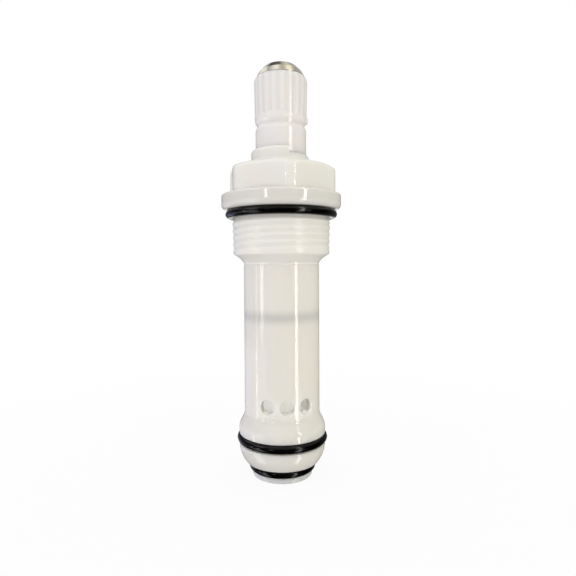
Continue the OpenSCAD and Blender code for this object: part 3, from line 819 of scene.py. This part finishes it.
def spindle_section(b, azimuth):
    """The spindle's section at an azimuth, from the insert's pocket over the top and down to the swivel's socket."""
    spindle_r, shank_r, neck_r, edge_r, foot_r = b.spindle_r, b.shank_r, b.neck_r, b.spline_r, b.spline_low_r
    top, tip_r = b.spline_top, b.tip_edge_r
    band_r = foot_r - 0.05
    points = [(0, top - b.shank_h), (shank_r - 0.2, top - b.shank_h), (shank_r, top - b.shank_h + 0.2),
              (shank_r, top - 5), (shank_r, top - 0.3), (shank_r, top - 0.04), (shank_r + 0.04, top),
              (tip_r - 0.6, top)]
    points += flowing([(tip_r - 0.1, top), (tip_r, top - 0.02), (tip_r + 0.2, top - 0.26),
                       (edge_r - 0.02, top - 0.72), (edge_r, top - 1.1)], 4)
    points += straight((edge_r, top - 1.3), (foot_r + 0.01, b.spline_z + 1.0), 20)
    points += straight((foot_r, b.spline_z + 0.9), (foot_r, b.spline_z), 9)
    points += flowing([(band_r, b.spline_z - 0.12), (band_r - 0.04, b.spline_z - 0.5),
                       (neck_r + 0.12, b.neck_z + 0.35), (neck_r, b.neck_z + 0.05), (neck_r + 0.06, b.neck_z - 0.25),
                       (spindle_r - 0.05, b.neck_z - 0.8), (spindle_r, b.neck_z - 1.0)], 4)
    reach, base_z = spindle_r + b.lug_reach, b.spline_z - 0.9
    aside = abs((azimuth - 90 + 180) % 360 - 180)
    stands = 1 - smooth_step(b.lug_sweep / 2 - 2.5, b.lug_sweep / 2, aside)
    for i, (r, z) in enumerate(points):
        if 4.5 < r < reach:
            rise = smooth_step(base_z, base_z + 0.45, z) * (1 - smooth_step(base_z + 1.15, base_z + 1.7, z)) * stands
            points[i] = (r + (reach - r) * rise, z)
    floor_r = b.bearing_r - b.ring_cord * SQUEEZE
    upper = b.head_top + b.collar_h * 0.37
    lower = upper - b.ring_cord - 0.85
    screw_r, screw_end = b.screw_r, b.screw_top - b.screw_h
    points += soften([
        (spindle_r, b.neck_z - 1.3, 0), *groove(spindle_r, floor_r, upper + b.groove / 2, upper - b.groove / 2),
        *groove(spindle_r, floor_r, lower + b.groove / 2, lower - b.groove / 2), (spindle_r, b.screw_top, 0.1),
        (screw_r, b.screw_top, 0.3), (screw_r, screw_end, 0.3), (screw_r - 0.3, screw_end - 0.02, 0)])
    bottom, socket_r, socket_top = b.piston_top + 0.7, b.swivel_socket_r, b.swivel_top + 0.4
    return points + soften([
        (screw_r - 0.3, screw_end - 0.1, 0), (screw_r - 0.3, bottom, 0.3), (socket_r, bottom, 0.2),
        *groove(socket_r, b.swivel_r + 0.75 + b.seat_gap, b.clip_z, b.clip_z + 0.8, 0.05, 0.05),
        (socket_r, socket_top, 0.2), (0, socket_top, 0)])


def insert_section(b):
    """The metal insert's section: screw hole, cone and shank."""
    top, tip_top, bottom = b.spline_top, b.spline_top + b.tip_h - HAIR, b.spline_top - b.shank_h + 0.05
    tip_r, flat_r, hole_r = b.tip_edge_r, b.tip_flat_r, b.hole_r
    shank_r, floor = b.shank_r - b.seat_gap, tip_top - b.hole_h
    points = [(0, floor), (hole_r - 0.3, floor), (hole_r, floor + 0.25)]
    points += straight((hole_r, floor + 0.4), (hole_r, tip_top - 0.75), 110)
    return points + soften([
        (hole_r, tip_top - 0.7, 0), (hole_r, tip_top - 0.45, 0.1), (hole_r + 0.4, tip_top, 0.1),
        (flat_r, tip_top, 0.16), (flat_r + 0.45, tip_top - 0.42, 0.2),
        (tip_r * 0.63 + flat_r * 0.37, top + b.tip_h * 0.5, 0.9),
        (tip_r - 0.02, top + 0.02, 0.05), (shank_r, top + 0.02, 0.0), (shank_r, bottom, 0.3), (0, bottom, 0)])


def ring_section(outer_r, z, cord, flash):
    """A seal ring's round section with the thin line that its mould leaves inside and outside."""
    points = []
    for a in (tau * k / 48 for k in range(48)):
        aside = degrees(asin(min(abs(sin(a)), 1)))
        r = cord / 2 + flash * exp(-(aside / 5) ** 2)
        points.append((outer_r - cord / 2 + r * cos(a), z + r * sin(a)))
    return points


def plunger_section(b):
    """The plunger's section: cup, shaft, piston and swivel spigot."""
    cup_r, shaft_r, swivel_r, piston_r = b.cup_r, b.shaft_r, b.swivel_r, b.bore_r - 0.12
    hole_r, hole_top = 1.6 + b.seat_gap, b.washer_z + 8.3
    cup_floor, cup_z = b.washer_z + b.washer_h, b.washer_z + 0.7
    ring_z, piston_z, half = b.piston_ring_z, b.piston_ring_z - b.piston_h / 2, b.groove / 2
    return soften([
        (0, hole_top, 0), (hole_r, hole_top, 0.05), (hole_r, cup_floor, 0.05), (cup_r - 0.45, cup_floor, 0.05),
        (cup_r - 0.45, cup_z, 0.12), (cup_r, cup_z, 0.12), (cup_r, cup_floor + 0.3, 0.15),
        (shaft_r, cup_floor + 0.9, 0.3), (shaft_r, piston_z, 0.2), (piston_r, piston_z, 0.3),
        *groove(piston_r, b.bore_r - b.ring_cord * SQUEEZE, ring_z - half, ring_z + half, 0.06),
        (piston_r, b.piston_top, 0.3), (swivel_r, b.piston_top, 0.05),
        *groove(swivel_r, swivel_r - 0.55 - b.running_gap, b.clip_z - 0.1, b.clip_z + 0.9, 0.05, 0.05),
        (swivel_r, b.swivel_top, 0.4), (0, b.swivel_top, 0)])


# Operators


class STEM_OT_barrel(bpy.types.Operator):
    """Make the tube and the seat nose with their side ports"""

    bl_idname = "stem.barrel"
    bl_label = "Barrel"

    def execute(self, context):
        piece = make_barrel(all_sizes())
        piece.visible_shadow = piece.visible_diffuse = False  # light gets through the milky wall to what is inside
        hand_over(piece, "barrel", "barrel_plastic", "housing")
        return {"FINISHED"}


class STEM_OT_bonnet(bpy.types.Operator):
    """Make the bonnet with its thread, flange, hexagonal head and neck collar"""

    bl_idname = "stem.bonnet"
    bl_label = "Bonnet"

    def execute(self, context):
        b = all_sizes()
        piece = turned("bonnet_moulding", lambda azimuth: bonnet_section(b, azimuth))
        cut_ridges(piece, "bonnet_plastic", -1.0, b.thread_pitch, 0.35, b.thread_depth, (0.12, 0.62),
                   (b.thread_z + 0.2, b.thread_top + 0.2), 0.9, (9.0, 12.0))
        hand_over(piece, "bonnet", "bonnet_plastic", "housing")
        return {"FINISHED"}


class STEM_OT_spindle(bpy.types.Operator):
    """Make the spindle with its spline and stop lug"""

    bl_idname = "stem.spindle"
    bl_label = "Spindle"

    def execute(self, context):
        b = all_sizes()
        piece = turned("splined_spindle", lambda azimuth: spindle_section(b, azimuth), closed=False)
        held = piece.data.attributes.new("held", "FLOAT", "POINT")  # the spline stays off the stop lug
        for vert, value in zip(piece.data.vertices, held.data):
            x, y, z = vert.co / MM
            aside = abs(degrees(atan2(x, -y)) - 90)
            value.value = (1 - smooth_step(b.lug_sweep / 2, b.lug_sweep / 2 + 2, aside)) * (
                1 - smooth_step(b.spline_z + 0.6, b.spline_z + 1.4, z))
        shift = 87 * b.teeth / 360 + 0.5  # one tooth stands 3 degrees to the right of the front
        cut_ridges(piece, "spindle_plastic", float(b.teeth), None, shift, b.spline_depth, (0.22, 0.6),
                   (b.spline_z - 0.15, b.spline_top + 0.15), 1.0, (4.5, 7.0))
        hand_over(piece, "spindle", "spindle_plastic", "spindle_set")
        return {"FINISHED"}


class STEM_OT_insert(bpy.types.Operator):
    """Make the metal insert with its cone and threaded hole"""

    bl_idname = "stem.insert"
    bl_label = "Metal Insert"

    def execute(self, context):
        b = all_sizes()
        piece = turned("nickel_insert", insert_section(b), closed=False, columns=144)
        top = b.spline_top + b.tip_h
        cut_ridges(piece, "insert_metal", -1.0, b.hole_pitch, 0.0, 0.28, (0.15, 0.7),
                   (top - b.hole_h + 0.4, top - 0.6), 0.6, (1.8, 2.15))
        hand_over(piece, "handle_screw_insert", "insert_metal", "spindle_set")
        return {"FINISHED"}


class STEM_OT_rings(bpy.types.Operator):
    """Make the seal rings and finish the hidden ones"""

    bl_idname = "stem.rings"
    bl_label = "Seal Rings"

    def execute(self, context):
        b = all_sizes()
        cord, gap, flash = b.ring_cord, 0.06, 0.025
        for node, radius, z in (("bonnet_o_ring", b.ring_r, b.flange_z - cord / 2),
                                ("nose_o_ring_large", b.large_ring_r, b.large_groove_z + b.groove / 2),
                                ("nose_o_ring_small", b.small_ring_r, b.foot_h + b.groove / 2)):
            section = ring_section(radius + gap - flash, z, cord, flash)
            hand_over(turned(node + "_rubber", section, columns=240), node, "seal_rubber", "housing")
        section = ring_section(b.bore_r - 0.03, b.piston_ring_z, cord * SQUEEZE - gap, 0.0)
        hand_over(turned("piston_o_ring_rubber", section, columns=240), "piston_o_ring", "seal_rubber", "plunger_set")
        for node in ("barrel_seal_ring", "spindle_o_ring_upper", "spindle_o_ring_lower"):
            dress_solid(node, "seal_rubber")
        return {"FINISHED"}


class STEM_OT_inner_parts(bpy.types.Operator):
    """Make the plunger and finish the small working parts"""

    bl_idname = "stem.inner_parts"
    bl_label = "Inner Parts"

    def execute(self, context):
        section = plunger_section(all_sizes())
        piece = turned("plunger_moulding", section, closed=False, columns=180)
        hand_over(piece, "plunger", "plunger_plastic", "plunger_set")
        dress_solid("thrust_washer", "plunger_plastic")
        dress_solid("seat_washer", "washer_rubber")
        dress_solid("washer_screw", "steel")
        dress_solid("swivel_clip", "steel")
        return {"FINISHED"}


class STEM_OT_stage(bpy.types.Operator):
    """Set up the floor, the lamps, the surroundings and the camera"""

    bl_idname = "stem.stage"
    bl_label = "Stage"

    def execute(self, context):
        scene, stem = context.scene, context.scene.stem
        scene.view_settings.view_transform = "Standard"
        make_camera(scene, stem.stage)
        make_floor(stem.finish.floor)
        make_flags(stem.finish.flags)
        make_ceiling()
        for name, azimuth, width, low, high, power, colour in STRIPS:
            make_strip(name, ((azimuth, low, width), (azimuth, high, width)), power, colour)
        make_strip("upper_strip", SLANTED_PATH, 8.0, CREAM)
        make_surroundings(scene, stem.stage.sky)
        tall_lamp("left_lamp", -59, stem.stage.left_lamp, (0.93, 0.95, 1.0))
        tall_lamp("right_lamp", 37, stem.stage.right_lamp, (1.0, 0.97, 0.86))
        return {"FINISHED"}


# Stage


def make_camera(scene, stage):
    """The camera at the photograph's place, looking level along +Y."""
    lens = bpy.data.cameras.new("camera")
    lens.lens, lens.sensor_width = 30.0, 36.0
    lens.shift_x, lens.shift_y = 0.0113, -0.038
    lens.clip_start, lens.clip_end = 0.005, 20.0
    camera = bpy.data.objects.new("camera", lens)
    turn = Euler((radians(90), 0, 0)).to_matrix() @ Matrix.Rotation(radians(-0.3), 3, "Z")
    camera.matrix_world = Matrix.Translation((0, -stage.eye, stage.eye_z)) @ turn.to_4x4()
    scene.collection.objects.link(camera)
    scene.camera = camera


def make_floor(colour):
    """A wide pale floor that reads as white and keeps a soft shadow."""
    mesh = bmesh.new()
    mesh.faces.new([mesh.verts.new((x, y, -0.00002)) for x, y in ((-3, -3), (3, -3), (3, 3), (-3, 3))])
    floor = wrap("floor", mesh)
    floor.visible_glossy = False

    def paint(sheet, where):
        seen = sheet.add("LightPath", out="Is Camera Ray")
        base = sheet.blend(sheet.noise(where, 3.0), colour, times(colour, 0.99))
        matt = sheet.add("BsdfDiffuse", {"Color": base})
        glow = sheet.add("Emission", {"Color": (1, 1, 1, 1), "Strength": 1.0})
        white = sheet.remap(sheet.add("VectorMath", {0: where}, "Value", operation="LENGTH"), 0.02, 0.15, 0.93, 1.0)
        return sheet.add("MixShader", {0: seen * white, 1: matt, 2: glow})

    floor.data.materials.append(new_material("floor", paint))


def hang(name, mesh, paint, power=1.0):
    """Hangs up a cloth that glows in the colours paint gives, which only reflections see and no lamp sampling."""
    piece = wrap(name, mesh)
    material = new_material(name, lambda sheet, where: sheet.add(
        "Emission", {"Color": paint(sheet, where), "Strength": power}))
    material.cycles.emission_sampling = "NONE"
    piece.data.materials.append(material)
    for ray in ("camera", "diffuse", "transmission", "volume_scatter", "shadow"):
        setattr(piece, "visible_" + ray, False)


def make_flags(colour):
    """Dark cloths round and under the stem, so that gloss isn't washed out."""
    mesh = bmesh.new()
    for low, start, count in ((-1300, -165, 67), (500, 165, 7)):
        bridge(mesh, [[mesh.verts.new(place(FAR + 20, z, start + k * 5)) for z in (low, 1500)] for k in range(count)])
    mesh.faces.new([mesh.verts.new(place(FAR + 20, -1300, k * 15)) for k in range(24)])

    def paint(sheet, where):
        x, y, z = sheet.axes(where)
        lit = 1.0 - (sheet.rise(z, 1.05, 1.15, 0.95) * sheet.fall(x, -0.05, 0.12) * sheet.rise(x, -0.55, -0.42))
        bright = sheet.fall(x, -0.45, -0.32) * sheet.rise(y, 0.2, 0.35) * sheet.rise(z, 0.6, 0.75)
        paler = sheet.rise(y, 0.1, 0.8, 0.24).apply("MAXIMUM", sheet.rise(z, 0.4, 0.6)) * lit
        base = sheet.blend(paler, colour, (0.5, 0.5, 0.48))
        return sheet.blend(bright * lit, base, (1.15, 1.13, 1.05))

    hang("flags", mesh, paint)


def make_ceiling():
    """A ceiling with a white and a warm patch for the metal cone."""
    mesh = bmesh.new()
    mesh.faces.new([mesh.verts.new(place(FAR + 20, 1500, k * 10)) for k in range(36)])

    def paint(sheet, where):
        x, y, _ = sheet.axes(where)
        colour = sheet.add("ValToRGB", {"Fac": x / (2 * (FAR + 20) * MM) + 0.5}, "Color")
        ramp = sheet.last.color_ramp
        stops = ((0.0, (0.48, 0.48, 0.46)), (0.14, (0.6, 0.6, 0.58)), (0.29, (1.15, 1.15, 1.12)),
                 (0.38, (1.25, 1.25, 1.2)), (0.54, (0.6, 0.58, 0.5)), (0.63, (0.75, 0.72, 0.62)),
                 (0.73, (1.3, 1.22, 1.0)), (0.82, (1.4, 1.32, 1.1)), (0.92, (0.6, 0.58, 0.52)),
                 (1.0, (0.45, 0.44, 0.42)))
        while len(ramp.elements) < len(stops):
            ramp.elements.new(0.5)
        for element, (position, tone) in zip(ramp.elements, stops):
            element.position, element.color = position, (*tone, 1.0)
        gloom = sheet.rise(y, 0.4, 0.6, 0.93) * sheet.fall(x, -0.05, 0.12)
        return sheet.blend(gloom, colour, (0, 0, 0))

    hang("ceiling", mesh, paint)


def make_strip(name, path, power, colour):
    """A bright strip in front of the dark cloths, along a path of (azimuth, height, width)."""
    mesh = bmesh.new()
    reach = FAR + (10 if path[0][2] > 20 else 0)  # a wide glow hangs behind the narrow strips
    bridge(mesh, [[mesh.verts.new(place(reach, z, azimuth + side * width / 12)) for side in range(-6, 7)]
                  for azimuth, z, width in flowing(path, 6)])
    hang(name, mesh, lambda sheet, where: sheet.blend(sheet.noise(where, 5.0), colour, times(colour, 0.97)), power)


def make_surroundings(scene, power):
    """Even light from all round, which the camera and reflections see as white."""
    world = bpy.data.worlds.new("surroundings")
    world.use_nodes = True
    sheet = Sheet(world.node_tree)
    camera = sheet.add("LightPath", out="Is Camera Ray")
    glossy, clear = sheet.pick("Is Glossy Ray"), sheet.pick("Is Transmission Ray")
    seen = camera.apply("MAXIMUM", glossy).apply("MAXIMUM", clear)
    x, _, _ = sheet.axes(sheet.add("TexCoord", out="Generated"))
    tone = sheet.blend(sheet.rise(x, -0.8, 0.8), (0.98, 0.98, 1.06), (1.0, 1.0, 0.9))
    even = sheet.add("Background", {"Color": tone, "Strength": power})
    white = sheet.add("Background", {"Color": (1, 1, 1, 1), "Strength": 1.0})
    sheet.add("OutputWorld", {"Surface": sheet.add("MixShader", {0: seen, 1: even, 2: white})})
    scene.world = world


def tall_lamp(name, azimuth, power, colour, distance=0.5, height=0.16):
    """A tall narrow lamp at an azimuth from the front, aimed at the stem."""
    lamp = bpy.data.lights.new(name, "AREA")
    lamp.shape = "RECTANGLE"
    lamp.size, lamp.size_y = 0.12, 0.4
    lamp.energy, lamp.color = power, colour
    holder = bpy.data.objects.new(name, lamp)
    a = radians(azimuth)
    holder.location = (distance * sin(a), -distance * cos(a), height)
    holder.rotation_euler = (radians(90), 0, a)
    holder.visible_camera = holder.visible_glossy = False
    bpy.context.scene.collection.objects.link(holder)


# Panel and start


class STEM_PT_panel(bpy.types.Panel):
    """Buttons and settings of the stem"""

    bl_label = "Diverter Stem"
    bl_idname = "STEM_PT_panel"
    bl_space_type = "VIEW_3D"
    bl_region_type = "UI"
    bl_category = "Stem"

    def draw(self, context):
        for operator in OPERATORS:
            self.layout.operator(operator.bl_idname)
        for name in ("barrel", "bonnet", "spindle", "inner", "finish", "stage"):
            group = getattr(context.scene.stem, name)
            box = self.layout.box()
            box.label(text=name.capitalize())
            for prop in group.bl_rna.properties:
                if prop.identifier not in ("rna_type", "name"):
                    box.prop(group, prop.identifier)


OPERATORS = (STEM_OT_stage, STEM_OT_barrel, STEM_OT_bonnet, STEM_OT_spindle, STEM_OT_insert, STEM_OT_rings,
             STEM_OT_inner_parts)
CLASSES = (BarrelSizes, BonnetSizes, SpindleSizes, InnerSizes, Finishes, StageSettings, StemSettings,
           *OPERATORS, STEM_PT_panel)


def register():
    """Adds the classes and the scene's settings."""
    for item in CLASSES:
        bpy.utils.register_class(item)
    bpy.types.Scene.stem = bpy.props.PointerProperty(type=StemSettings)


def unregister():
    """Takes the classes and the scene's settings away."""
    del bpy.types.Scene.stem
    for item in reversed(CLASSES):
        bpy.utils.unregister_class(item)


def main():
    """Makes the whole stem."""
    register()
    bpy.ops.stem.stage()
    bpy.ops.stem.barrel()
    bpy.ops.stem.bonnet()
    bpy.ops.stem.spindle()
    bpy.ops.stem.insert()
    bpy.ops.stem.rings()
    bpy.ops.stem.inner_parts()


if __name__ == "__main__":
    main()
